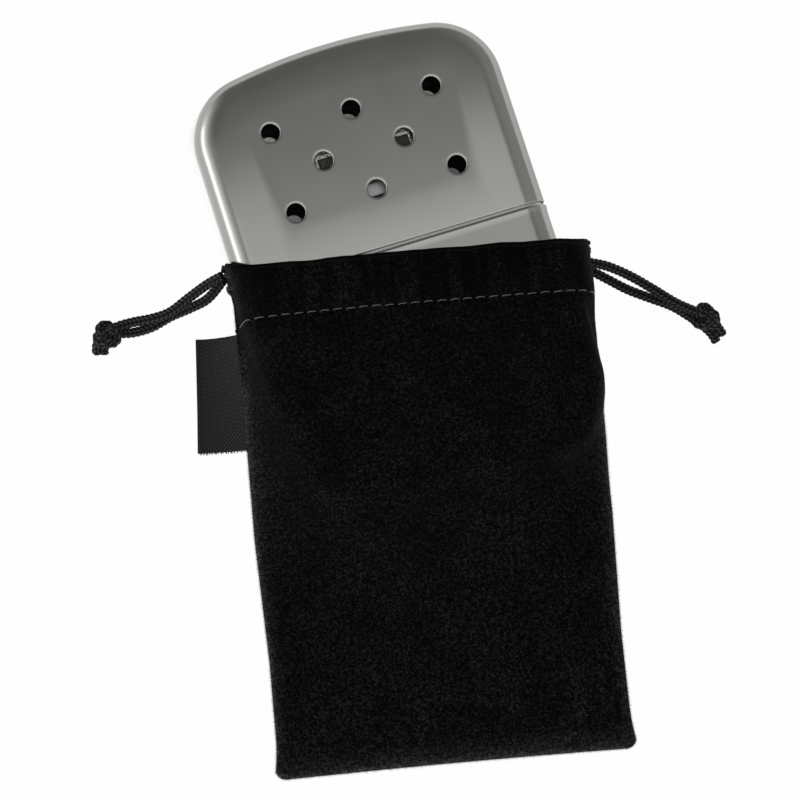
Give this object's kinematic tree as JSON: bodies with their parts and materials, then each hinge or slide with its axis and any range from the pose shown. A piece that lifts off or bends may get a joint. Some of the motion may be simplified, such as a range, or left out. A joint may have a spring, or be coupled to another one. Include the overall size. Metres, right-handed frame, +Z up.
{
  "type": "catalytic hand warmer",
  "caption": "Pocket catalytic hand warmer with a vented slip lid, lying part-way inside its velvet drawstring pouch.",
  "frame": {"origin": "on the surface that the pouch lies on, under the middle of the fuel tank and on the warmer's axis", "axes": "+Y along the warmer towards its lid, +X across it, +Z up from the surface; the pouch is turned clockwise from the warmer's axis"},
  "size_m": [0.1304, 0.1578, 0.023],
  "materials": {
    "satin_chrome": "satin chrome over drawn brass or steel",
    "plated_steel": "plain plated",
    "gauze": "perforated, dull",
    "felt": "pressed wool felt",
    "cotton": "loose cotton wadding",
    "burner_steel": "heat-tinted, bright",
    "catalyst": "glass-fibre mat darkened by its catalyst",
    "velvet": "black flocked velvet",
    "woven_tab": "black twill ribbon, bare",
    "braided_cord": "black braided polyester"
  },
  "bodies": {
    "pouch": {"pouch_back": "velvet", "pouch_front": "velvet", "back_hem_lining": "velvet", "front_hem_lining": "velvet", "label_tab": "woven_tab", "first_cord_run": "braided_cord", "second_cord_run": "braided_cord", "left_cord_front": "braided_cord", "left_cord_back": "braided_cord", "right_cord_front": "braided_cord", "right_cord_back": "braided_cord", "left_knot": "braided_cord", "right_knot": "braided_cord"},
    "tank": {"tank_shell": "satin_chrome", "tank_collar": "plated_steel", "filler_mouth": "plated_steel", "mouth_gauze": "gauze", "wick_felt": "felt", "cotton_wadding": "cotton"},
    "lid": {"lid_shell": "satin_chrome"},
    "burner": {"burner_housing": "burner_steel", "catalyst_mat": "catalyst", "mat_band": "burner_steel"}
  },
  "joints": [
    {"name": "warmer_slide", "type": "slide", "parent": "pouch", "child": "tank", "axis": [0, 0.9973, 0.0732], "range_m": [0, 0.065]},
    {"name": "lid_slide", "type": "slide", "parent": "tank", "child": "lid", "axis": [0, 0.9973, 0.0732], "range_m": [0, 0.06]},
    {"name": "burner_slide", "type": "slide", "parent": "tank", "child": "burner", "axis": [0, 0.9973, 0.0732], "range_m": [0, 0.012]}
  ]
}
